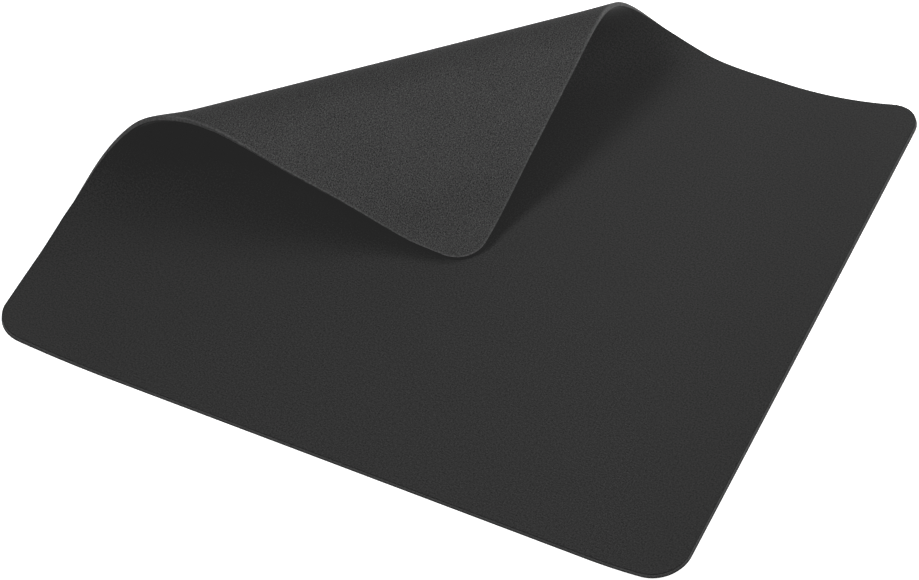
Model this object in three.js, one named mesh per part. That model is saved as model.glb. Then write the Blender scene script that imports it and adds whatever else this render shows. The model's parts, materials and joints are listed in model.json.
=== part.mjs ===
// A cloth-faced foam-rubber mouse pad that lies on a desk with its far left corner rolled over.
// Millimetres, +Z up. The origin is on the desk, in the middle of the pad's footprint,
// with the pad's long edges along X and its short edges along Y.
import * as THREE from 'three';

// The blank that every layer is cut to
const PAD_WIDTH = 250;
const PAD_DEPTH = 225;
const CORNER_RADIUS = 12;
const CORNER_STEPS = 8;

// The laminate, from the desk up, with the line of glue between its layers
const BASE_THICKNESS = 1.46;
const FILM_THICKNESS = 0.1;
const CLOTH_THICKNESS = 0.4;
const GLUE_LINE = 0.02;

// The rolled corner: the way it lies from the middle, how far out the pad leaves the desk,
// the radius of the cloth inside the roll, the length over which the bend tightens and slackens,
// and the height at which the tip stops above the cloth under it
const ROLL_HEADING = THREE.MathUtils.degToRad(136);
const ROLL_START = 32.5;
const ROLL_RADIUS = 17.1;
const ROLL_EASE = 19.8;
const TIP_GAP = 1.8;

// The roll is a chain of narrow flat strips that hinge on the cloth's face
const BEND_COUNT = 10;
const STRIP_GAP = 0.3;

// The right-hand end lifts off the desk: the way it curls, over what length and how high
const CURL_HEADING = THREE.MathUtils.degToRad(5.5);
const CURL_LENGTH = 52;
const CURL_RISE = 10.8;
const CURL_STEPS = 10;

const LAYERS = [
  { name: 'base', thickness: BASE_THICKNESS, colour: 0x414141, roughness: 0.85 },
  { name: 'film', thickness: FILM_THICKNESS, colour: 0x2b2b2b, roughness: 0.5 },
  { name: 'cloth', thickness: CLOTH_THICKNESS, colour: 0x343434, roughness: 0.95 },
];
const PAD_THICKNESS = LAYERS.reduce((sum, layer) => sum + layer.thickness, 0)
  + GLUE_LINE * (LAYERS.length - 1);

// Each layer gets its material and the height of its lower face above the desk.
let height = 0;
for (const layer of LAYERS) {
  layer.bottom = height;
  layer.material = new THREE.MeshStandardMaterial({
    color: layer.colour,
    roughness: layer.roughness,
    metalness: 0,
  });
  height += layer.thickness + GLUE_LINE;
}

// The blank's outline: a rectangle with round corners, counter-clockwise.
function blankOutline() {
  const points = [];
  const corners = [[1, 1], [-1, 1], [-1, -1], [1, -1]];
  corners.forEach(([sideX, sideY], corner) => {
    const centre = new THREE.Vector2(
      sideX * (PAD_WIDTH / 2 - CORNER_RADIUS),
      sideY * (PAD_DEPTH / 2 - CORNER_RADIUS),
    );
    for (let step = 0; step <= CORNER_STEPS; step += 1) {
      const angle = (corner + step / CORNER_STEPS) * Math.PI / 2;
      const outward = new THREE.Vector2(Math.cos(angle), Math.sin(angle));
      points.push(outward.multiplyScalar(CORNER_RADIUS).add(centre));
    }
  });
  return points;
}

// The outline seen along a heading: x runs that way, measured from a start line, and y across it.
function alongHeading(points, heading, start) {
  const origin = new THREE.Vector2(0, 0);
  return points.map((point) => {
    const turned = point.clone().rotateAround(origin, -heading);
    return new THREE.Vector2(turned.x - start, turned.y);
  });
}

// The part of a convex outline whose x lies between two limits.
function band(points, low, high) {
  const keepInside = (outline, inside, limit) => outline.flatMap((point, index) => {
    const next = outline[(index + 1) % outline.length];
    const kept = inside(point.x) ? [point] : [];
    if (inside(point.x) !== inside(next.x)) {
      kept.push(point.clone().lerp(next, (limit - point.x) / (next.x - point.x)));
    }
    return kept;
  });
  return keepInside(keepInside(points, (x) => x >= low, low), (x) => x <= high, high);
}

// Length along the cloth, from where the pad leaves the desk, at which the roll has turned so far.
// The bend tightens evenly over ROLL_EASE, holds ROLL_RADIUS, then slackens evenly again.
function lengthAtTurn(turn, wholeTurn) {
  const easeTurn = ROLL_EASE / (2 * ROLL_RADIUS);
  const easedLength = (part) => Math.sqrt(2 * ROLL_EASE * ROLL_RADIUS * part);
  if (turn < easeTurn) {
    return easedLength(turn);
  }
  if (turn > wholeTurn - easeTurn) {
    return wholeTurn * ROLL_RADIUS + ROLL_EASE - easedLength(wholeTurn - turn);
  }
  return turn * ROLL_RADIUS + ROLL_EASE / 2;
}

// The hinge lines: each takes an equal share of the turn, at the middle of that share.
function hingeLengths(wholeTurn) {
  const share = wholeTurn / BEND_COUNT;
  const places = Array.from({ length: BEND_COUNT }, (_, index) => (index + 0.5) * share);
  return places.map((turn) => lengthAtTurn(turn, wholeTurn));
}

// Height of the flap's tip above the cloth when the chain of strips has turned so far in all.
function tipHeight(wholeTurn, tipLength) {
  const share = wholeTurn / BEND_COUNT;
  const joints = [...hingeLengths(wholeTurn), tipLength];
  let rise = 0;
  for (let index = 0; index < BEND_COUNT; index += 1) {
    rise += (joints[index + 1] - joints[index]) * Math.sin((index + 1) * share);
  }
  return rise;
}

// The turn that brings the tip down to TIP_GAP, found by halving between half a turn and a whole one.
function turnToTip(tipLength) {
  let least = Math.PI;
  let most = 2 * Math.PI;
  const halvings = 50;
  for (let step = 0; step < halvings; step += 1) {
    const middle = (least + most) / 2;
    if (tipHeight(middle, tipLength) > TIP_GAP) {
      least = middle;
    } else {
      most = middle;
    }
  }
  return least;
}

// A flat plate of one layer, with its lower face at z = 0 before it is placed.
function flatPlate(points, thickness) {
  return new THREE.ExtrudeGeometry(new THREE.Shape(points), { depth: thickness, bevelEnabled: false });
}

// Where a convex outline is crossed by the line at one x: its lowest and highest y.
function crossing(points, x) {
  const heights = points.flatMap((point, index) => {
    const next = points[(index + 1) % points.length];
    if (point.x === x) {
      return [point.y];
    }
    const crosses = (point.x - x) * (next.x - x) < 0;
    return crosses ? [point.clone().lerp(next, (x - point.x) / (next.x - point.x)).y] : [];
  });
  return { x, low: Math.min(...heights), high: Math.max(...heights) };
}

// A plate of one layer whose far end in x lifts off the desk in a parabola.
// Stations run across the plate at every point of its outline and at even steps along the curl.
function curledPlate(points, bottom, top, curlStart) {
  const stepLength = CURL_LENGTH / CURL_STEPS;
  const curlSteps = Array.from({ length: CURL_STEPS }, (_, step) => curlStart + step * stepLength);
  const ends = points.map((point) => point.x);
  const last = Math.max(...ends);
  const places = [...ends, ...curlSteps].filter((x) => x <= last).sort((a, b) => a - b);
  const closest = 0.01;
  const stations = places.filter((x, index) => index === 0 || x - places[index - 1] > closest);
  stations[stations.length - 1] = last;
  const sections = stations.map((x) => crossing(points, x));

  const lifted = (x, y, level) => {
    const run = Math.max(0, x - curlStart) / CURL_LENGTH;
    const slope = Math.atan(2 * CURL_RISE * run / CURL_LENGTH);
    return [x - level * Math.sin(slope), y, CURL_RISE * run * run + level * Math.cos(slope)];
  };
  const corners = sections.map(({ x, low, high }) => ({
    bottomLow: lifted(x, low, bottom),
    bottomHigh: lifted(x, high, bottom),
    topLow: lifted(x, low, top),
    topHigh: lifted(x, high, top),
  }));

  const positions = [];
  const same = (a, b) => Math.hypot(a[0] - b[0], a[1] - b[1], a[2] - b[2]) < closest;
  const triangle = (a, b, c) => {
    if (!same(a, b) && !same(b, c) && !same(c, a)) {
      positions.push(...a, ...b, ...c);
    }
  };
  const quad = (a, b, c, d) => {
    triangle(a, b, c);
    triangle(a, c, d);
  };
  for (let index = 0; index + 1 < corners.length; index += 1) {
    const near = corners[index];
    const far = corners[index + 1];
    quad(near.topLow, far.topLow, far.topHigh, near.topHigh);
    quad(near.bottomHigh, far.bottomHigh, far.bottomLow, near.bottomLow);
    quad(near.bottomLow, far.bottomLow, far.topLow, near.topLow);
    quad(near.topHigh, far.topHigh, far.bottomHigh, near.bottomHigh);
  }
  const start = corners[0];
  const end = corners[corners.length - 1];
  quad(start.bottomHigh, start.bottomLow, start.topLow, start.topHigh);
  quad(end.bottomLow, end.bottomHigh, end.topHigh, end.topLow);

  const geometry = new THREE.BufferGeometry();
  geometry.setAttribute('position', new THREE.Float32BufferAttribute(positions, 3));
  geometry.computeVertexNormals();
  return geometry;
}

function addMesh(group, name, geometry, material) {
  const mesh = new THREE.Mesh(geometry, material);
  mesh.name = name;
  group.add(mesh);
  return mesh;
}

const pad = new THREE.Group();
pad.name = 'mouse_pad';

const blank = blankOutline();
const rolled = alongHeading(blank, ROLL_HEADING, ROLL_START);
const tipLength = Math.max(...rolled.map((point) => point.x));
const wholeTurn = turnToTip(tipLength);
const hinges = hingeLengths(wholeTurn);

// The field that lies on the desk: everything short of the first hinge line.
// Its right-hand end is lifted.
const fieldOutline = band(rolled, -Infinity, hinges[0] - STRIP_GAP / 2);
const fieldFromMiddle = fieldOutline.map((point) => new THREE.Vector2(point.x + ROLL_START, point.y));
const fieldPlan = alongHeading(fieldFromMiddle, -ROLL_HEADING, 0);
const fieldAlongCurl = alongHeading(fieldPlan, CURL_HEADING, 0);
const sharpCorner = new THREE.Vector2(PAD_WIDTH / 2, PAD_DEPTH / 2);
const curlStart = alongHeading([sharpCorner], CURL_HEADING, 0)[0].x - CURL_LENGTH;
const field = new THREE.Group();
field.rotation.z = CURL_HEADING;
pad.add(field);
for (const layer of LAYERS) {
  const plate = curledPlate(fieldAlongCurl, layer.bottom, layer.bottom + layer.thickness, curlStart);
  addMesh(field, `${layer.name}_field`, plate, layer.material);
}

// The rolled corner: each strip's group turns on its hinge line and carries the next, out to the flap.
const rollStart = new THREE.Group();
rollStart.rotation.z = ROLL_HEADING;
pad.add(rollStart);
let carrier = rollStart;
hinges.forEach((hinge, index) => {
  const isFlap = index === BEND_COUNT - 1;
  const strip = new THREE.Group();
  strip.name = `hinge_${index + 1}`;
  if (index === 0) {
    strip.position.set(ROLL_START + hinge, 0, PAD_THICKNESS);
  } else {
    strip.position.set(hinge - hinges[index - 1], 0, 0);
  }
  strip.rotation.y = -wholeTurn / BEND_COUNT;
  carrier.add(strip);
  carrier = strip;

  const far = isFlap ? Infinity : hinges[index + 1] - STRIP_GAP / 2;
  const cut = band(rolled, hinge + STRIP_GAP / 2, far);
  const outline = cut.map((point) => new THREE.Vector2(point.x - hinge, point.y));
  const place = isFlap ? 'flap' : `strip_${index + 1}`;
  for (const layer of LAYERS) {
    const plate = flatPlate(outline, layer.thickness);
    const mesh = addMesh(strip, `${layer.name}_${place}`, plate, layer.material);
    mesh.position.z = layer.bottom - PAD_THICKNESS;
  }
});

export default pad;
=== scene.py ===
# %% [markdown]
# A mouse pad with one corner rolled over
#
# The real pad is one soft laminate: a woven face, a film of hot-melt glue and a foam rubber base with
# a grained underside. A die cuts all three at once, so they share one outline. It lies on a desk with
# its far left corner rolled over itself, its right-hand end lifted and its near left corner just off
# the desk. The frame gives the sizes, the hinge lines of the roll and the bodies that carry it.

# %% Load the frame
import json
import math

import bmesh
import bpy
import numpy as np
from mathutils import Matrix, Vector


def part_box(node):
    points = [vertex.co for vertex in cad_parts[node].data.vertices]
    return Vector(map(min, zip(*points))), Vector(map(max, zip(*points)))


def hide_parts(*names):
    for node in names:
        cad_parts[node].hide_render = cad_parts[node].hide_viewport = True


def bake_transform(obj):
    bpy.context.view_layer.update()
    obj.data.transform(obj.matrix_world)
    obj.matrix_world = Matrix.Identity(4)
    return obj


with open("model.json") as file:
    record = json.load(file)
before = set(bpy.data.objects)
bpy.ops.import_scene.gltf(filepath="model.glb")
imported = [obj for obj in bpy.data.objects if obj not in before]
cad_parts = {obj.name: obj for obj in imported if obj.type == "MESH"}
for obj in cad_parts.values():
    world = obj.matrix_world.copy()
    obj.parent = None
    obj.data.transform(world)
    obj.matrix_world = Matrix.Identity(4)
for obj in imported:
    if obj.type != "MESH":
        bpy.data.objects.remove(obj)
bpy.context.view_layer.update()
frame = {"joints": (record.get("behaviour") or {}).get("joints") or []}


def in_mm(metres):
    """A length in metres as rounded millimetres, for what the cells print."""
    return round(1000 * float(metres), 2)


# %% [markdown]
# The roll is a chain of hinge lines on the cloth's face, all with one direction and one turn. Seen
# along that direction it is a line in a plane: reach away from the middle of the pad, and height.
# A sheet bends smoothly, so a seam is set half-way between each two hinges, and the line runs from
# seam to seam as a curve that has the hinge as its control point. That keeps the cloth tangent to
# each flat strip of the frame, and each stretch has just one hinge to follow when the roll opens.

# %% The hinge chain, flat and rolled
ROLL_LEAD = 0.0112  # flat length of the bend before the first hinge and after the last

hinge_place = np.array([joint["pos_m"] for joint in frame["joints"]])
along_roll = np.array(frame["joints"][0]["axis"])
outward = np.array([along_roll[1], -along_roll[0], 0.0])
up = np.array([0.0, 0.0, 1.0])
turn = math.radians(frame["joints"][0]["range_deg"][1])
hinge_count = len(hinge_place)
pad_thickness = hinge_place[0, 2]

hinge_point = np.stack([hinge_place @ outward, hinge_place[:, 2]], axis=1)
last_way = np.array([math.cos(hinge_count * turn), math.sin(hinge_count * turn)])
seam_point = np.concatenate([
    [hinge_point[0] - [ROLL_LEAD, 0.0]],
    (hinge_point[:-1] + hinge_point[1:]) / 2,
    [hinge_point[-1] + ROLL_LEAD * last_way],
])
hinge_spacing = np.linalg.norm(np.diff(hinge_point, axis=0), axis=1)
hinge_length = hinge_point[0, 0] + np.concatenate([[0.0], np.cumsum(hinge_spacing)])
seam_length = np.concatenate([
    [hinge_length[0] - ROLL_LEAD],
    (hinge_length[:-1] + hinge_length[1:]) / 2,
    [hinge_length[-1] + ROLL_LEAD],
])
print("roll:", hinge_count, "hinges,", round(math.degrees(turn) * hinge_count, 1), "degrees in all")

# %% The line of the roll
LINE_SAMPLES = 400


def roll_line(length):
    """Reach, height and turn of the cloth's face at flat lengths from the middle of the pad.

    From seam to seam the line is a quadratic Bezier curve, (1-t)^2 seam + 2t(1-t) hinge + t^2 seam.
    The same curve laid flat gives t for a flat length. Outside the outer seams the line runs straight.
    """
    inside = np.clip(length, seam_length[0], seam_length[-1])
    stretch = np.clip(np.searchsorted(seam_length, inside, side="right") - 1, 0, hinge_count - 1)
    before = hinge_length[stretch] - seam_length[stretch]
    after = seam_length[stretch + 1] - hinge_length[stretch]
    run = inside - seam_length[stretch]
    t = (run / (before + np.sqrt(before**2 + (after - before) * run)))[..., None]
    point = (
        (1 - t) ** 2 * seam_point[stretch]
        + 2 * t * (1 - t) * hinge_point[stretch]
        + t**2 * seam_point[stretch + 1]
    )
    t = t[..., 0]
    bend = np.arctan2(after * t * math.sin(turn), before * (1 - t) + after * t * math.cos(turn))
    angle = stretch * turn + bend
    straight = length - inside
    return (
        point[..., 0] + straight * np.cos(angle),
        point[..., 1] + straight * np.sin(angle),
        angle,
    )


line = np.linspace(seam_length[0], seam_length[-1], LINE_SAMPLES)
print("roll: the cloth's crest is", in_mm(roll_line(line)[1].max()), "mm above the desk")

# %% [markdown]
# A pad that has been packed doesn't lie quite flat. The right-hand end and the near left corner lift
# off the desk in shallow curves. A parabola along one heading is enough for each: it leaves the desk
# without a kink, and the pad bends one way only, as a thick sheet does. Where the roll pulls on the
# left and back edges, they swell up a little, and the near left corner is drawn in.

# %% The lifted end and corner
CORNER_RADIUS = 0.012
LIFTS = (  # heading in degrees, length of the curve, and its rise at the sharp corner of the blank
    (5.5, 0.052, 0.0108),
    (238.1, 0.027, 0.0032),
)
SWELLS = (  # height, place on the blank in x and y, and width along x and y
    (0.002, -0.125, -0.0611, 0.03, 0.0118),
    (0.0011, 0.0333, 0.1125, 0.0135, 0.02),
)
CORNER_DRAW, DRAW_WIDTH = 0.00273, 0.021

field_low, field_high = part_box("base_field")
PAD_SIZE = np.array([field_high.x - field_low.x, field_high.y - field_low.y])
corner_side = np.array([[1, 1], [-1, 1], [-1, -1], [1, -1]])
corner_centre = corner_side * (PAD_SIZE / 2 - CORNER_RADIUS)
corner_reach = corner_centre @ outward[:2]
FLAP_END = corner_reach.max() + CORNER_RADIUS  # flat length of the rolled corner's tip


def edge_swell(x, y):
    """Height and slopes of the edges' swells: bell curves in x and y, added up."""
    total = np.zeros((3, *np.shape(x)))
    for height, place_x, place_y, width_x, width_y in SWELLS:
        over, along = (x - place_x) / width_x, (y - place_y) / width_y
        bell = height * np.exp(-(over**2) - along**2)
        total += np.stack([bell, -2 * over / width_x * bell, -2 * along / width_y * bell])
    return total


def corner_draw(x, y):
    """How far the near left corner is drawn in along x: a bell curve of the distance from it."""
    away = np.hypot(x + PAD_SIZE[0] / 2, y + PAD_SIZE[1] / 2)
    return CORNER_DRAW * np.exp(-((away / DRAW_WIDTH) ** 2))


def desk_lift(x, y):
    """Height off the desk, and its slopes along x and y: the swells, and parabolas on top of them.

    A parabola is rise * (run / length)^2. The run is measured along the heading from the line where
    the sheet leaves the desk.
    """
    height, slope_x, slope_y = edge_swell(x, y)
    for heading, length, rise in LIFTS:
        way = np.array([math.cos(math.radians(heading)), math.sin(math.radians(heading))])
        start = np.abs(way * PAD_SIZE / 2).sum() - length
        run = np.maximum(0.0, x * way[0] + y * way[1] - start) / length
        height += rise * run**2
        slope_x += 2 * rise / length * run * way[0]
        slope_y += 2 * rise / length * run * way[1]
    return height, slope_x, slope_y


print("pad: the frame's field is", in_mm(PAD_SIZE[0]), "x", in_mm(PAD_SIZE[1]), "mm")

# %% [markdown]
# A thick sheet that is bent one way turns a little the other way at its free edges, so the two ends of
# the roll flare out, the left one by half a millimetre and by more than twice that at its crest. A bell
# curve from the cut edge gives that, and it comes and goes with the bend.

# %% The flare of the roll's ends
FLARE_LEFT, FLARE_RIGHT, FLARE_WIDTH = 0.00057, 0.0002, 0.0059
CREST_FLARE, CREST_PLACE, CREST_SPREAD = 0.0007, 0.0801, 0.0068


def eased(share):
    """A share held between 0 and 1 that starts and ends gently: 3t^2 - 2t^3."""
    held = np.clip(share, 0, 1)
    return held * held * (3 - 2 * held)


def edge_flare(length, across, from_edge):
    """How far the cut edge of the bent sheet turns outward: a bell curve that fades in from the edge.

    It is there only where the sheet is bent, and comes and goes over two stretches at each end of the
    roll. The roll's left end, where the place across is above nothing, has a second bell at its crest.
    """
    bent = eased((length - seam_length[0]) / (seam_length[2] - seam_length[0]))
    bent = bent * eased((seam_length[-1] - length) / (seam_length[-1] - seam_length[-3]))
    at_crest = np.exp(-(((length - CREST_PLACE) / CREST_SPREAD) ** 2))
    turned = np.where(across > 0, FLARE_LEFT * bent + CREST_FLARE * at_crest, FLARE_RIGHT * bent)
    return turned * np.exp(-((from_edge / FLARE_WIDTH) ** 2))


print("roll: its left end flares by", in_mm(FLARE_LEFT + CREST_FLARE), "mm at the crest")

# %% [markdown]
# The flap isn't quite flat either. Its end curls in and settles until the tip all but touches the
# cloth, the part before the tip sags, and its left edge droops. Each of these is a small smooth curve
# on top of the roll's line, so that each can be set by itself.

# %% The hang of the flap
TIP_CURL, TIP_CURL_LENGTH = 0.0018, 0.045
DROOP, DROOP_WIDTH = 0.00135, 0.02
DROOP_START, DROOP_EASE = 0.1, 0.022
DROOP_END, DROOP_END_EASE = FLAP_END - 0.002, 0.01
SAG, SAG_PLACE, SAG_SPREAD = 0.0007, FLAP_END - 0.016, 0.011
SETTLE, SETTLE_START, SETTLE_EASE = 0.22, FLAP_END - 0.026, 0.02  # SETTLE is a share
SETTLE_LEFT, SETTLE_LEFT_WIDTH = 0.06, 0.012
SETTLE_WAY = np.array([-0.25, 0.5, -1.0])  # down, and back towards the roll


def tip_curl(length):
    """How far the flap's end curls in under itself, eased over its last stretch, so that it ends flat."""
    return TIP_CURL * eased(1 - (FLAP_END - length) / TIP_CURL_LENGTH)


def flap_droop(length, x):
    """How far the flap hangs down, as two bell curves added up.

    One is measured from the left edge and fades at both ends of it. The other is measured along the
    flap from a place before its tip.
    """
    hanging = eased((length - DROOP_START) / DROOP_EASE) * eased((DROOP_END - length) / DROOP_END_EASE)
    edge = DROOP * hanging * np.exp(-(((x + PAD_SIZE[0] / 2) / DROOP_WIDTH) ** 2))
    return edge + SAG * np.exp(-(((length - SAG_PLACE) / SAG_SPREAD) ** 2))


def flap_settle(length, x, clear):
    """How far the flap's end settles: a share of its clear height over the cloth, eased in.

    The share is greater along the left edge, by a bell curve from it.
    """
    from_left = (x + PAD_SIZE[0] / 2) / SETTLE_LEFT_WIDTH
    share = SETTLE + SETTLE_LEFT * np.exp(-(from_left**2))
    return share * eased((length - SETTLE_START) / SETTLE_EASE) * np.maximum(0.0, clear)


print("flap: curls by", in_mm(TIP_CURL), "mm, sags by", in_mm(SAG), "mm, droops by", in_mm(DROOP), "mm")

# %% [markdown]
# Every point of the pad is known by where it was on the flat blank: its length along the roll's
# heading, its place across it, and its depth below the cloth's face. One function takes that to where
# the point is now. All three layers use it, so they stay glued to each other however the pad bends.


# %% From the flat blank to the bent pad
def flat_place(length, across):
    """x and y on the flat blank of a length along the roll's heading and a place across it."""
    return (
        length * outward[0] + across * along_roll[0],
        length * outward[1] + across * along_roll[1],
    )


def bent_place(length, across, depth, from_edge):
    """The pad's point for a flat length, a place across, a depth and a distance from the cut edge.

    The underside's point comes first: on the roll's line, lifted off the desk, and hung, settled,
    curled and flared as far as the sheet is there. The rest of the thickness is added along the
    sheet's normal, which leans with the roll and the lift.
    """
    reach, height, angle = roll_line(length)
    x, y = flat_place(length, across)
    lift, slope_x, slope_y = desk_lift(x, y)
    normal = np.cos(angle)[..., None] * up - np.sin(angle)[..., None] * outward
    hung = height - flap_droop(length, x)
    clear = hung + tip_curl(length) * np.cos(angle) - pad_thickness
    underside = (
        reach[..., None] * outward
        + across[..., None] * along_roll
        + (hung + lift)[..., None] * up
        + flap_settle(length, x, clear)[..., None] * SETTLE_WAY
        - (pad_thickness + edge_flare(length, across, from_edge) - tip_curl(length))[..., None] * normal
    )
    leaning = normal - np.stack([slope_x, slope_y, np.zeros_like(lift)], axis=-1)
    leaning /= np.linalg.norm(leaning, axis=-1, keepdims=True)
    drawn_in = corner_draw(x, y)[..., None] * [1.0, 0.0, 0.0]
    return underside + drawn_in + (pad_thickness - depth)[..., None] * leaning


# %% [markdown]
# The blank is a rectangle with round corners. Straight lines across the roll's heading rule it from
# one corner to the opposite one, and each line becomes one row of the mesh. The rows crowd together in
# the two round corners where they start and end, and where the sheet bends.

# %% The blank's outline and its ruled rows
ARC_STEPS = 1800  # on each round corner, so many that straight steps between them don't show
TIP_STEPS = 12  # rows in the round corners where the rows start and end
TIP_ANGLE = math.radians(44)  # how far round those corners the rows crowd together
FIELD_STEP = 0.0017
BEND_STEP = 0.0006
SEAM_HOLD = 0.00004  # the first row beside a seam, which keeps the shading smooth across it


def outline_ends(length, inset):
    """Lowest and highest place across, at flat lengths, of the outline drawn in by an inset.

    The outline is four quarter circles joined by straight lines. It is cut at its two far points into
    a lower and an upper chain, and each is read off at the lengths.
    """
    quarter = np.arange(4)[:, None] * math.pi / 2 + np.linspace(0, math.pi / 2, ARC_STEPS + 1)
    circle = np.stack([np.cos(quarter), np.sin(quarter)], axis=-1) * (CORNER_RADIUS - inset)
    outline = (corner_centre[:, None, :] + circle).reshape(-1, 2)
    along, over = outline @ outward[:2], outline @ along_roll[:2]
    first = np.argmin(along)
    along, over = np.roll(along, -first), np.roll(over, -first)
    last = np.argmax(along)
    upper = np.append(np.arange(last, len(along)), 0)[::-1]
    low = np.interp(length, along[:last + 1], over[:last + 1])
    high = np.interp(length, along[upper], over[upper])
    return low, high


def even_rows(start, end, step):
    """Evenly spaced lengths after start, up to and including end, about a step apart."""
    return np.linspace(start, end, math.ceil((end - start) / step) + 1)[1:]


tip_angle = np.linspace(0, TIP_ANGLE, TIP_STEPS + 1)
near_tip = corner_reach.min() - CORNER_RADIUS * np.cos(tip_angle)
far_tip = (corner_reach.max() + CORNER_RADIUS * np.cos(tip_angle))[::-1]
bend_rows = [
    np.concatenate([[a + SEAM_HOLD], even_rows(a, b, BEND_STEP)[:-1], [b - SEAM_HOLD, b]])
    for a, b in zip(seam_length[:-1], seam_length[1:])
]
row_length = np.concatenate([
    near_tip,
    even_rows(near_tip[-1], seam_length[0], FIELD_STEP),
    *bend_rows,
    even_rows(seam_length[-1], far_tip[0], FIELD_STEP),
    far_tip[1:],
])
row_pull = np.zeros_like(row_length)  # how far a row moves in towards the middle with an inset
row_pull[:TIP_STEPS + 1] = -np.cos(tip_angle)
row_pull[-TIP_STEPS - 1:] = np.cos(tip_angle)[::-1]
print("rows:", len(row_length), "from", in_mm(row_length[0]), "to", in_mm(row_length[-1]), "mm")

# %% [markdown]
# A layer's section is a thin strip: a top, a cut wall, an underside and the other wall. The ring below
# goes once round it. Each point has its share of the way across, its inset from the outline, its depth,
# and marks that are 1 on the cut wall, along the rim of the underside and along the foot of the wall.
# The edges are rounded a little, because a die presses as it cuts.

# %% One turn round a layer
COLUMN_COUNT = 120
EDGE_HOLDS = np.array([0.00012, 0.0006])  # columns beside an edge, which keep the faces flat there
FILLET_STEPS = 4
WALL_STEPS = 5
FOOT_DEPTH = 0.00115  # depth below the cloth's face at which the foot of the wall starts


def section_ring(top, bottom, top_round, bottom_round):
    """Share across, inset, depth and marks, from one edge over the top, down the wall and back.

    A rounded edge is a quarter circle: inset r(1 - sin a) and depth r(1 - cos a) for a from 0 to 90.
    """
    fillet = np.linspace(0, math.pi / 2, FILLET_STEPS + 1)
    wall = np.linspace(top + top_round, bottom - bottom_round, WALL_STEPS + 1)[1:-1]
    side_inset = np.concatenate([
        top_round * (1 - np.sin(fillet)),
        np.zeros_like(wall),
        bottom_round * (1 - np.sin(fillet[::-1])),
    ])
    side_depth = np.concatenate([
        top + top_round * (1 - np.cos(fillet)),
        wall,
        bottom - bottom_round * (1 - np.cos(fillet[::-1])),
    ])
    side_cut = np.ones_like(side_inset)
    side_cut[[0, -1]] = 0.0
    side_rim = np.zeros_like(side_inset)
    side_rim[-FILLET_STEPS:] = 1.0
    side_foot = (side_depth > FOOT_DEPTH).astype(float)
    middle = np.linspace(0, 1, COLUMN_COUNT + 1)
    hold_count = len(EDGE_HOLDS) - 1
    share = np.concatenate([np.zeros(hold_count), middle, np.ones(hold_count)])
    hold = np.full(len(share), EDGE_HOLDS[-1])
    hold[:hold_count] = EDGE_HOLDS[:-1]
    hold[-hold_count:] = EDGE_HOLDS[-2::-1]
    side = np.ones_like(side_inset)
    flat = np.zeros_like(share)
    rim = flat.copy()
    rim[:hold_count] = 1.0
    rim[-hold_count:] = 1.0
    return {
        "share": np.concatenate([share, side, share[::-1], 0 * side]),
        "inset": np.concatenate([
            hold + top_round, side_inset, hold + bottom_round, side_inset[::-1]]),
        "depth": np.concatenate([flat + top, side_depth, flat + bottom, side_depth[::-1]]),
        "cut_wall": np.concatenate([flat, side_cut, flat, side_cut[::-1]]),
        "rim": np.concatenate([flat, side_rim, rim, side_rim[::-1]]),
        "foot": np.concatenate([flat, side_foot, rim, side_foot[::-1]]),
        "face_count": len(share),
        "side_count": len(side),
    }


# %% [markdown]
# Rings in neighbouring rows are joined by quads, and a cap closes a piece wherever it is cut at a seam.
# The finishes need to know more about each point, so the mesh keeps its flat place and its marks. The
# rim counts on the rolled corner, where a painted highlight runs along it and on the walls with it, the
# left one by about half. The foot counts on the rest of the pad, where painted shade darkens the wall
# near the desk.


# %% Quads and caps
def ring_faces(row_count, ring_size):
    """Quads between neighbouring rows and neighbouring points of the ring, which closes on itself."""
    row, place = np.meshgrid(np.arange(row_count - 1), np.arange(ring_size), indexing="ij")
    after = (place + 1) % ring_size
    quads = [row * ring_size + place, (row + 1) * ring_size + place,
             (row + 1) * ring_size + after, row * ring_size + after]
    return np.stack(quads, axis=-1).reshape(-1, 4).tolist()


def cap_faces(ring, start, flip):
    """The end of a piece at a seam: quads from top to underside, and one face at each wall."""
    faces, side = ring["face_count"], ring["side_count"]
    top = np.arange(faces)
    under = faces + side + top[::-1]
    quads = np.stack([top[:-1], top[1:], under[1:], under[:-1]], axis=-1).tolist()
    quads.append([faces - 1, *range(faces, faces + side), faces + side])
    quads.append([2 * faces + side - 1, *range(2 * faces + side, 2 * faces + 2 * side), 0])
    return [[start + index for index in (face[::-1] if flip else face)] for face in quads]


# %% What the mesh keeps for the finishes
LEFT_WALL_HIGHLIGHT = 0.55  # share of the painted highlight on the wall at the roll's left end, where 1 is as pale as the rim
SHADE_FADE_LIFT = np.array([0.004, 0.008])  # the painted shade at the foot fades out as the sheet's lift off the desk grows so far


def point_marks(length, across, ring):
    """The marks of every point: the ring's own, each times how far it counts at that place."""
    lift = desk_lift(*flat_place(length, across))[0]
    rolled = eased((length - seam_length[0]) / (seam_length[2] - seam_length[0]))
    off_desk = eased((lift - SHADE_FADE_LIFT[0]) / (SHADE_FADE_LIFT[1] - SHADE_FADE_LIFT[0]))
    wall_highlight = np.where(across < 0, 1.0, LEFT_WALL_HIGHLIGHT)
    return {
        "cut_wall": np.broadcast_to(ring["cut_wall"], across.shape),
        # pale_rim: a painted highlight along the rolled corner's rim and cut walls, full on the right
        # end's wall
        "pale_rim": np.maximum(ring["rim"], ring["cut_wall"] * wall_highlight) * rolled,
        # dark_foot: painted shade at the foot of the wall near the desk, fading where the sheet lifts off
        "dark_foot": ring["foot"] * (1 - rolled) * (1 - off_desk),
    }


def keep_on_points(mesh, name, kind, field, values):
    """An attribute of the mesh that holds one entry for each point."""
    attribute = mesh.attributes.new(name, kind, "POINT")
    attribute.data.foreach_set(field, values.astype(np.float32).ravel())


# %% A piece of a layer as a closed mesh
MERGE_DISTANCE = 1e-6
LEAST_EDGE = 1e-7
SHARP_ANGLE = math.radians(40)

edge_slant = min(abs(outward[:2]))  # times a distance along a row, about the distance from the side


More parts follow.
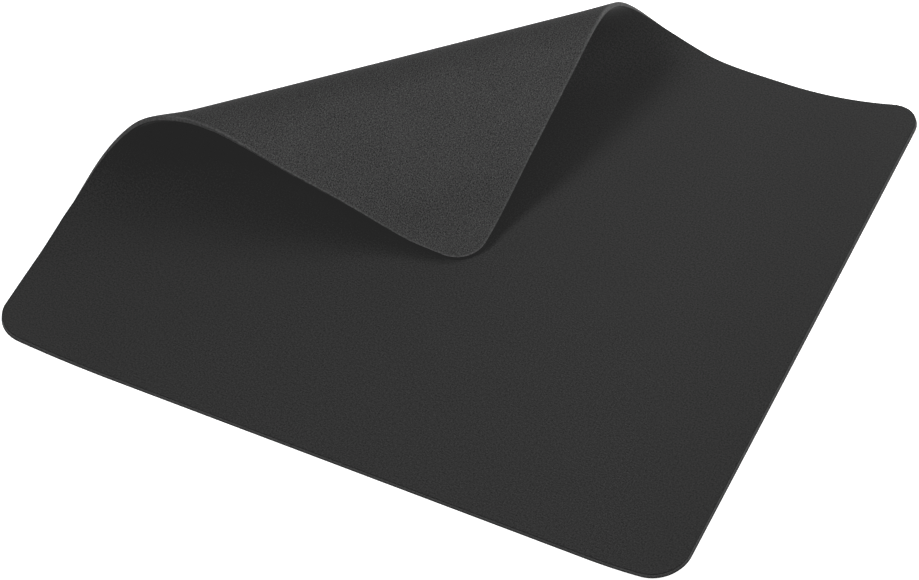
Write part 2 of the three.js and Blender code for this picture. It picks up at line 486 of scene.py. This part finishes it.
def finish_mesh(mesh):
    """Merges the doubled points where rows end in a point, at the round corners, and shades smooth."""
    work = bmesh.new()
    work.from_mesh(mesh)
    bmesh.ops.remove_doubles(work, verts=work.verts, dist=MERGE_DISTANCE)
    bmesh.ops.dissolve_degenerate(work, edges=work.edges, dist=LEAST_EDGE)
    work.to_mesh(mesh)
    work.free()
    mesh.shade_smooth()
    mesh.set_sharp_from_angle(angle=SHARP_ANGLE)


def layer_mesh(name, first_row, last_row, ring):
    """A closed mesh of the rows from first to last, and the flat area that it was cut to.

    A point lies at low + share (high - low) across its row, between the ends of the drawn-in outline.
    """
    rows = slice(first_row, last_row + 1)
    length = row_length[rows, None] - row_pull[rows, None] * ring["inset"]
    low, high = np.zeros_like(length), np.zeros_like(length)
    for inset in np.unique(ring["inset"]):
        column = ring["inset"] == inset
        low[:, column], high[:, column] = outline_ends(length[:, column], inset)
    across = low + ring["share"] * (high - low)
    depth = np.broadcast_to(ring["depth"], across.shape)
    from_edge = np.minimum(across - low, high - across) * edge_slant + ring["inset"]
    place = bent_place(length, across, depth, from_edge).reshape(-1, 3)

    row_count, ring_size = across.shape
    faces = ring_faces(row_count, ring_size)
    if first_row > 0:
        faces += cap_faces(ring, 0, False)
    if last_row < len(row_length) - 1:
        faces += cap_faces(ring, (row_count - 1) * ring_size, True)
    mesh = bpy.data.meshes.new(name)
    mesh.from_pydata(place, [], faces)
    blank_place = np.stack([*flat_place(length, across), depth], axis=-1)
    keep_on_points(mesh, "blank_place", "FLOAT_VECTOR", "vector", blank_place)
    for mark, values in point_marks(length, across, ring).items():
        keep_on_points(mesh, mark, "FLOAT", "value", values)
    finish_mesh(mesh)
    cut_area = float(np.trapz((high - low)[:, 0], length[:, 0]))
    return mesh, cut_area


# %% [markdown]
# The finishes come next. Small patterns are given in metres on the flat blank, so the weave and the
# grain bend with the sheet. Effects that are used more than once are node groups: a mottle, which is
# two sizes of soft noise, a grain of packed cells, and the few specks of lint that every pad picks up.


# %% Helpers for shader nodes
def add_node(tree, kind, inputs=(), **settings):
    """A node with its settings, and with each named or numbered input set to a value or linked."""
    node = tree.nodes.new(kind)
    for key, value in settings.items():
        setattr(node, key, value)
    for key, value in dict(inputs).items():
        if isinstance(value, bpy.types.NodeSocket):
            tree.links.new(value, node.inputs[key])
        else:
            node.inputs[key].default_value = value
    return node


def add_math(tree, operation, *values):
    """The output of a Math node on one to three values or sockets."""
    return add_node(tree, "ShaderNodeMath", dict(enumerate(values)), operation=operation).outputs[0]


def add_line(tree, height, low, high):
    """A value on a straight line: low where the height is 0, and high where it is 1."""
    return add_math(tree, "MULTIPLY_ADD", height, high - low, low)


def add_mix(tree, share, first, second):
    """A value that goes from the first to the second as the share goes from 0 to 1."""
    mix = add_node(tree, "ShaderNodeMix", {0: share, 2: first, 3: second}, data_type="FLOAT")
    return mix.outputs[0]


def add_grey(tree, level):
    """A neutral colour of one level."""
    mixed = add_node(tree, "ShaderNodeCombineColor", {"Red": level, "Green": level, "Blue": level})
    return mixed.outputs[0]


def add_group(tree, group, inputs):
    """The outputs of a placed node group."""
    return add_node(tree, "ShaderNodeGroup", inputs, node_tree=group).outputs


def new_group(name, inputs, outputs):
    """An empty node group, with its input and output nodes, and named sockets.

    Place is a vector, and every other socket is a value.
    """
    group = bpy.data.node_groups.new(name, "ShaderNodeTree")
    for label in inputs:
        kind = "NodeSocketVector" if label == "Place" else "NodeSocketFloat"
        group.interface.new_socket(label, in_out="INPUT", socket_type=kind)
    for label in outputs:
        group.interface.new_socket(label, in_out="OUTPUT", socket_type="NodeSocketFloat")
    return group, group.nodes.new("NodeGroupInput").outputs, group.nodes.new("NodeGroupOutput").inputs


# %% Mottle, grain and lint
NOISE_MIDDLE = 0.5
MOTTLE_DETAIL = {"Broad": 2.0, "Fine": 1.0}
GRAIN_SMOOTHNESS = 0.6
LINT = {"Spacing": 0.018, "Radius": 0.0003, "Share": 0.3}


def mottle_group():
    """Soft blotches and fine flecks about 1: 1 + broad (noise - 0.5) + fine (noise - 0.5)."""
    group, given, result = new_group(
        "mottle", ["Place", "Broad size", "Broad", "Fine size", "Fine"], ["Factor"])
    total = 1.0
    for label, detail in MOTTLE_DETAIL.items():
        scale = add_math(group, "DIVIDE", 1.0, given[label + " size"])
        noise = add_node(group, "ShaderNodeTexNoise",
                         {"Vector": given["Place"], "Scale": scale, "Detail": detail})
        centred = add_math(group, "SUBTRACT", noise.outputs["Fac"], NOISE_MIDDLE)
        total = add_math(group, "MULTIPLY_ADD", centred, given[label], total)
    group.links.new(total, result["Factor"])
    return group


def grain_group():
    """Packed cells: height is 1 at a cell's middle and falls off towards its rim."""
    group, given, result = new_group("grain", ["Place", "Size"], ["Height"])
    scale = add_math(group, "DIVIDE", 1.0, given["Size"])
    cells = add_node(group, "ShaderNodeTexVoronoi",
                     {"Vector": given["Place"], "Scale": scale, "Smoothness": GRAIN_SMOOTHNESS},
                     feature="SMOOTH_F1")
    group.links.new(add_math(group, "SUBTRACT", 1.0, cells.outputs["Distance"]), result["Height"])
    return group


def lint_group():
    """A mask of rare specks: 1 close to the points of wide cells, in a share of the cells."""
    group, given, result = new_group("lint", ["Place", "Spacing", "Radius", "Share"], ["Mask"])
    scale = add_math(group, "DIVIDE", 1.0, given["Spacing"])
    cells = add_node(group, "ShaderNodeTexVoronoi", {"Vector": given["Place"], "Scale": scale})
    reach = add_math(group, "DIVIDE", given["Radius"], given["Spacing"])
    near = add_math(group, "LESS_THAN", cells.outputs["Distance"], reach)
    draw = add_node(group, "ShaderNodeSeparateColor", {"Color": cells.outputs["Color"]})
    chosen = add_math(group, "LESS_THAN", draw.outputs["Red"], given["Share"])
    group.links.new(add_math(group, "MULTIPLY", near, chosen), result["Mask"])
    return group


mottle = mottle_group()
grain = grain_group()
lint = lint_group()
print("groups:", mottle.name, grain.name, lint.name)


# %% Helpers for materials
def new_material(name, **constants):
    """A material with a Principled shader whose plain values are set on its own sockets."""
    material = bpy.data.materials.new(name)
    material.use_nodes = True
    shader = material.node_tree.nodes["Principled BSDF"]
    for label, value in constants.items():
        shader.inputs[label.replace("_", " ")].default_value = value
    return material, material.node_tree, shader.inputs


def read_attribute(tree, name, output):
    """A socket that reads one of the mesh's own attributes."""
    return add_node(tree, "ShaderNodeAttribute", attribute_name=name).outputs[output]


def link_finish(tree, shader, level, roughness, bump):
    """Links a grey level, a roughness and a bump to the shader."""
    bumped = add_node(tree, "ShaderNodeBump", bump)
    tree.links.new(add_grey(tree, level), shader["Base Color"])
    tree.links.new(roughness, shader["Roughness"])
    tree.links.new(bumped.outputs["Normal"], shader["Normal"])


# %% [markdown]
# The face is a plain weave of fine black polyester. Warp and weft go over and under each other, so the
# height is the higher of two sets of round threads, each raised where the product of two sines is
# above or below nothing. The threads are thinner than a pixel here, so what shows is a fine even
# texture; from close by it is a weave. At the cut edge the threads end, and the face is darker there.

# %% The plain weave
THREAD_HEIGHT = 0.6
THREAD_LEAN = 0.4  # how far a thread rises and dips as it goes over and under


def weave_group():
    """Height of a plain weave, as the greater of two waves.

    They are |sin x| (height + lean s) and |sin y| (height - lean s), with s = sin x sin y.
    """
    group, given, result = new_group("plain weave", ["Place", "Pitch"], ["Height"])
    scale = add_math(group, "DIVIDE", math.pi, given["Pitch"])
    phase = add_node(group, "ShaderNodeVectorMath",
                     {0: given["Place"], "Scale": scale}, operation="SCALE")
    axes = add_node(group, "ShaderNodeSeparateXYZ", {0: phase.outputs[0]})
    warp = add_math(group, "SINE", axes.outputs["X"])
    weft = add_math(group, "SINE", axes.outputs["Y"])
    over = add_math(group, "MULTIPLY", warp, weft)
    threads = [
        add_math(group, "MULTIPLY", add_math(group, "ABSOLUTE", wave),
                 add_math(group, "MULTIPLY_ADD", over, lean, THREAD_HEIGHT))
        for wave, lean in ((warp, THREAD_LEAN), (weft, -THREAD_LEAN))
    ]
    group.links.new(add_math(group, "MAXIMUM", *threads), result["Height"])
    return group


weave = weave_group()

# %% Cloth
CLOTH_LEVEL = 0.0266
CLOTH_CUT_LEVEL = 0.011
CLOTH_LINT_LEVEL = 0.06
CLOTH_PITCH = 0.00042
CLOTH_MOTTLE = {"Broad size": 0.02, "Broad": 0.09, "Fine size": 0.00055, "Fine": 2.4}
CLOTH_SHADE = (0.68, 1.18)  # painted shade between the threads and painted highlight on their crowns
CLOTH_ROUGHNESS = (0.98, 0.86)
CLOTH_BUMP = {"Strength": 0.35, "Distance": 0.0001}


def cloth_material():
    """Black threads with painted shade between and highlight on crowns, fine uneven dye and specks of
    lint.
    """
    material, tree, shader = new_material(
        "woven_face", Sheen_Weight=0.12, Sheen_Roughness=0.45, Specular_IOR_Level=0.3)
    place = read_attribute(tree, "blank_place", "Vector")
    cut = read_attribute(tree, "cut_wall", "Fac")
    threads = add_group(tree, weave, {"Place": place, "Pitch": CLOTH_PITCH})["Height"]
    dye = add_group(tree, mottle, {"Place": place, **CLOTH_MOTTLE})["Factor"]
    specks = add_group(tree, lint, {"Place": place, **LINT})["Mask"]
    level = add_mix(tree, cut, CLOTH_LEVEL, CLOTH_CUT_LEVEL)
    level = add_math(tree, "MULTIPLY", level, add_line(tree, threads, *CLOTH_SHADE))
    level = add_math(tree, "MULTIPLY", level, dye)
    level = add_mix(tree, specks, level, CLOTH_LINT_LEVEL)
    roughness = add_line(tree, threads, *CLOTH_ROUGHNESS)
    link_finish(tree, shader, level, roughness, {"Height": threads, **CLOTH_BUMP})
    return material


woven_face = cloth_material()
print("cloth:", round(0.001 / CLOTH_PITCH, 1), "threads to the millimetre")

# %% [markdown]
# The base is foam rubber. Its underside is pressed into a fine pebbled skin that grips the desk, and
# its cut wall shows the open foam, which has small pores. One material holds both, and the mark on the
# mesh says which is which. Along the rolled corner's rim and on its cut walls a pale painted highlight
# runs. The foot of the wall, where the pad stands, is darkened with painted shade near the desk.

# %% Foam rubber
SKIN_LEVEL = 0.0497
FOAM_LEVEL = 0.027
# grey of the painted highlight along the rolled corner's rim and walls
RIM_HIGHLIGHT_LEVEL = 0.075
# grey of the painted shade at the foot of the wall, near the desk
FOOT_SHADE_LEVEL = 0.012
RUBBER_LINT_LEVEL = 0.1
SKIN_GRAIN = 0.0005
FOAM_PORE = 0.0005
SKIN_MOTTLE = {"Broad size": 0.011, "Broad": 0.22, "Fine size": 0.0004, "Fine": 4.0}
FOAM_MOTTLE = {"Broad size": 0.012, "Broad": 0.2, "Fine size": 0.0007, "Fine": 1.6}
RUBBER_SHADE = (0.65, 1.15)  # painted shade in the hollows between the pebbles and pores, painted highlight on their tops
RUBBER_ROUGHNESS = (0.95, 0.8)
RUBBER_BUMP = {"Strength": 0.5, "Distance": 0.0002}


def rubber_material():
    """A pebbled skin on the underside and open foam on the cut wall, told apart by the cut mark."""
    material, tree, shader = new_material("foam_rubber", Specular_IOR_Level=0.25)
    place = read_attribute(tree, "blank_place", "Vector")
    cut = read_attribute(tree, "cut_wall", "Fac")
    pebbles = add_group(tree, grain, {"Place": place, "Size": SKIN_GRAIN})["Height"]
    pores = add_group(tree, grain, {"Place": place, "Size": FOAM_PORE})["Height"]
    skin_shade = add_group(tree, mottle, {"Place": place, **SKIN_MOTTLE})["Factor"]
    foam_shade = add_group(tree, mottle, {"Place": place, **FOAM_MOTTLE})["Factor"]
    specks = add_group(tree, lint, {"Place": place, **LINT})["Mask"]
    height = add_mix(tree, cut, pebbles, pores)
    level = add_mix(tree, cut, add_math(tree, "MULTIPLY", skin_shade, SKIN_LEVEL),
                    add_math(tree, "MULTIPLY", foam_shade, FOAM_LEVEL))
    # painted highlight along the rolled corner's rim and cut walls
    rim_highlight_grey = add_math(tree, "MULTIPLY", foam_shade, RIM_HIGHLIGHT_LEVEL)
    level = add_mix(tree, read_attribute(tree, "pale_rim", "Fac"), level, rim_highlight_grey)
    # painted shade at the foot of the wall, near the desk
    level = add_mix(tree, read_attribute(tree, "dark_foot", "Fac"), level, FOOT_SHADE_LEVEL)
    level = add_math(tree, "MULTIPLY", level, add_line(tree, height, *RUBBER_SHADE))
    level = add_mix(tree, specks, level, RUBBER_LINT_LEVEL)
    roughness = add_line(tree, height, *RUBBER_ROUGHNESS)
    link_finish(tree, shader, level, roughness, {"Height": height, **RUBBER_BUMP})
    return material


foam_rubber = rubber_material()
print("rubber: pebbles of", in_mm(SKIN_GRAIN), "mm on the skin, pores of", in_mm(FOAM_PORE), "mm")

# %% [markdown]
# Between the two lies the film of hot-melt glue. Only its edge shows, as a hair line round the pad, so
# a dark, slightly shiny finish with a little unevenness is enough.

# %% Film of glue
FILM_LEVEL = 0.012
FILM_ROUGHNESS = 0.5
FILM_MOTTLE = {"Broad size": 0.01, "Broad": 0.2, "Fine size": 0.0005, "Fine": 0.5}
FILM_BUMP = {"Strength": 0.3, "Distance": 0.00005}


def film_material():
    """Dark plastic, uneven in colour, gloss and height where the glue ran."""
    material, tree, shader = new_material("hot_melt_film")
    place = read_attribute(tree, "blank_place", "Vector")
    flow = add_group(tree, mottle, {"Place": place, **FILM_MOTTLE})["Factor"]
    level = add_math(tree, "MULTIPLY", flow, FILM_LEVEL)
    roughness = add_math(tree, "MULTIPLY", flow, FILM_ROUGHNESS)
    link_finish(tree, shader, level, roughness, {"Height": flow, **FILM_BUMP})
    return material


hot_melt_film = film_material()
print("finishes:", woven_face.name, foam_rubber.name, hot_melt_film.name)

# %% [markdown]
# Now the layers themselves. Each is one sheet in life. Here each is cut at the seams, so that every
# piece bends over just one hinge, and the pieces meet edge to edge at every pose. The first piece is
# the whole field on the desk with the first bend, and the last is the last bend with the whole flap.

# %% The three layers
CLOTH_DEPTH, FILM_DEPTH, GLUE_LINE = 0.0004, 0.0001, 0.00002
film_top = CLOTH_DEPTH + GLUE_LINE
rubber_top = film_top + FILM_DEPTH + GLUE_LINE
LAYERS = (  # name, frame's name, slot, material, depths of top and underside, roundings of their edges
    ("rubber", "base", "rubber_base", foam_rubber, rubber_top, pad_thickness, 0.00003, 0.00025),
    ("glue", "film", "bond_film", hot_melt_film, film_top, film_top + FILM_DEPTH, 0.00001, 0.00001),
    ("woven", "cloth", "cloth_top", woven_face, 0.0, CLOTH_DEPTH, 0.0003, 0.00003),
)
bodies = ["mat", *(f"strip_{k}" for k in range(1, hinge_count)), "flap"]
cut_rows = np.searchsorted(row_length, seam_length)
cut_rows[[0, -1]] = 0, len(row_length) - 1


def layer_pieces(layer, node, slot, material, *section):
    """The pieces of one layer from the field to the flap, and their areas; each hides the frame's part it
    replaces.
    """
    ring = section_ring(*section)
    made, areas = [], []
    for k in range(hinge_count):
        place = "mat" if k == 0 else "flap" if k == hinge_count - 1 else f"bend_{k + 1}"
        mesh, area = layer_mesh(f"{layer}_{place}", cut_rows[k], cut_rows[k + 1], ring)
        piece = bpy.data.objects.new(mesh.name, mesh)
        bpy.context.scene.collection.objects.link(piece)
        mesh.materials.append(material)
        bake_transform(piece)
        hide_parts(f"{node}_field" if k == 0 else f"{node}_{bodies[k]}")
        made.append(piece)
        areas.append(area)
    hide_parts(f"{node}_flap")
    return made, areas


sheets = {layer[0]: layer_pieces(*layer) for layer in LAYERS}
for layer, (made, areas) in sheets.items():
    faces = sum(len(piece.data.polygons) for piece in made)
    print(layer, "in", len(made), "pieces,", faces, "faces,", round(sum(areas), 5), "square metres")
lowest = min(vertex.co.z for vertex in sheets["woven"][0][-1].data.vertices)
print("flap: its lowest point is", in_mm(lowest - pad_thickness), "mm above the cloth")

# %% [markdown]
# The layers are gone through in turn, each with the field piece of the layer under it, and their pieces
# and areas are read back; nothing more is done with them here.

for layer, under in (("rubber", ()), ("glue", ("rubber_mat",)), ("woven", ("glue_mat",))):
    made, areas = sheets[layer]

# %% [markdown]
# The photograph is a cut-out on white, taken with a long lens from above and a little to the right.
# The floor is white and glows, so the soft shadows on it stay near white. The main light is a soft
# box at the front left. Larger ones stand on the right and in front. Two stand low, on the right and
# behind, where they brighten the cut edges, and a small one stands close to the far right corner.
# A weak sky fills the rest.

# %% Floor and sky
WHITE = (1, 1, 1, 1)
FLOOR_SIZE = 8.0
FLOOR_DROP = 0.0002
FLOOR_LEVEL = 0.85
FLOOR_GLOW = 0.9
FLOOR_MOTTLE = {"Broad size": 0.8, "Broad": 0.02, "Fine size": 0.01, "Fine": 0.01}
SKY_STRENGTH = 0.05


def floor_material():
    """White paint that is a little uneven, and glows enough to stay white under soft shadows."""
    material, tree, shader = new_material(
        "white_floor", Roughness=0.9, Emission_Color=WHITE, Emission_Strength=FLOOR_GLOW)
    place = add_node(tree, "ShaderNodeTexCoord").outputs["Object"]
    paint = add_group(tree, mottle, {"Place": place, **FLOOR_MOTTLE})["Factor"]
    tree.links.new(add_grey(tree, add_math(tree, "MULTIPLY", paint, FLOOR_LEVEL)), shader["Base Color"])
    return material


floor_mesh = bpy.data.meshes.new("floor")
floor_corner = np.column_stack([FLOOR_SIZE / 2 * corner_side, np.full(4, -FLOOR_DROP)])
floor_mesh.from_pydata(floor_corner, [], [(0, 1, 2, 3)])
floor_mesh.materials.append(floor_material())
floor = bpy.data.objects.new("floor", floor_mesh)
bpy.context.scene.collection.objects.link(floor)

world = bpy.data.worlds.new("pale_sky")
world.use_nodes = True
sky = world.node_tree.nodes["Background"].inputs
sky["Color"].default_value = WHITE
sky["Strength"].default_value = SKY_STRENGTH
bpy.context.scene.world = world
print("floor:", FLOOR_SIZE, "m wide,", in_mm(FLOOR_DROP), "mm under the pad")

# %% Lights
BOXES = (  # name, place, aim, size and power in watts
    ("front_left_box", (-0.56, -0.73, 0.96), (0.0, 0.0, 0.0), 0.42, 10.2),
    ("right_box", (1.0, 0.1, 0.8), (0.0, 0.0, 0.0), 0.8, 3.4),
    ("front_box", (0.3, -1.0, 0.8), (0.0, 0.0, 0.0), 0.8, 1.0),
    ("low_right_box", (1.25, 0.4, 0.24), (0.0, 0.0, 0.0), 0.35, 4.6),
    ("low_back_box", (0.2, 1.3, 0.35), (0.0, 0.0, 0.0), 0.6, 2.2),
    ("far_right_box", (0.32, 0.3, 0.3), (0.1, 0.08, 0.0), 0.25, 1.0),
)


def soft_box(name, place, aim, size, power):
    """A square area light that points from its place to an aim point."""
    light = bpy.data.lights.new(name, "AREA")
    light.size = size
    light.energy = power
    lamp = bpy.data.objects.new(name, light)
    lamp.location = place
    lamp.rotation_euler = (Vector(aim) - Vector(place)).to_track_quat("-Z", "Y").to_euler()
    bpy.context.scene.collection.objects.link(lamp)


for box in BOXES:
    soft_box(*box)
print("lights:", len(BOXES), "soft boxes,", round(sum(box[-1] for box in BOXES), 1), "watts in all")

# %% [markdown]
# The camera was found from the pad's own edges: where the straight sides and the round corners fall in
# the image fixes the direction, the distance and the length of the lens. The pad's middle sits off the
# image's centre, and the lens shift puts it there.

# %% Camera
IMAGE_WIDTH, IMAGE_HEIGHT = 919, 580
MIDDLE_X, MIDDLE_Y = 467.6, 228.4  # where the middle of the pad falls in the image, in pixels
FOCAL_PIXELS = 3046
PIXELS_PER_METRE = 2916.0
AZIMUTH, ELEVATION = math.radians(25.6), math.radians(46.25)
SENSOR_WIDTH = 36.0  # millimetres, as the lens is

camera_data = bpy.data.cameras.new("camera")
camera_data.sensor_width = SENSOR_WIDTH
camera_data.lens = SENSOR_WIDTH * FOCAL_PIXELS / IMAGE_WIDTH
camera_data.shift_x = (IMAGE_WIDTH / 2 - MIDDLE_X) / IMAGE_WIDTH
camera_data.shift_y = (MIDDLE_Y - IMAGE_HEIGHT / 2) / IMAGE_WIDTH
camera = bpy.data.objects.new("camera", camera_data)
back = Vector((
    math.sin(AZIMUTH) * math.cos(ELEVATION),
    -math.cos(AZIMUTH) * math.cos(ELEVATION),
    math.sin(ELEVATION),
))
camera.location = back * FOCAL_PIXELS / PIXELS_PER_METRE
camera.rotation_euler = (-back).to_track_quat("-Z", "Y").to_euler()
bpy.context.scene.collection.objects.link(camera)
bpy.context.scene.camera = camera
print("camera:", round(camera_data.lens, 1), "mm lens at", round(camera.location.length, 3), "m")

# %% [markdown]
# The photograph's darkest tones are lifted: nothing on the pad is below one dark grey. The tone curve
# of the picture does the same, and leaves every tone above that as it is.

# %% Tones of the picture
DARKEST = 0.0185
COMBINED_CURVE = 3  # after the curves of red, green and blue

view = bpy.context.scene.view_settings
view.view_transform = "Standard"
view.use_curve_mapping = True
tones = view.curve_mapping.curves[COMBINED_CURVE]
tones.points[0].location = (0.0, DARKEST)
tones.points.new(DARKEST, DARKEST)
for point in tones.points:
    point.handle_type = "VECTOR"
view.curve_mapping.update()
print("tones: held at or above", DARKEST)
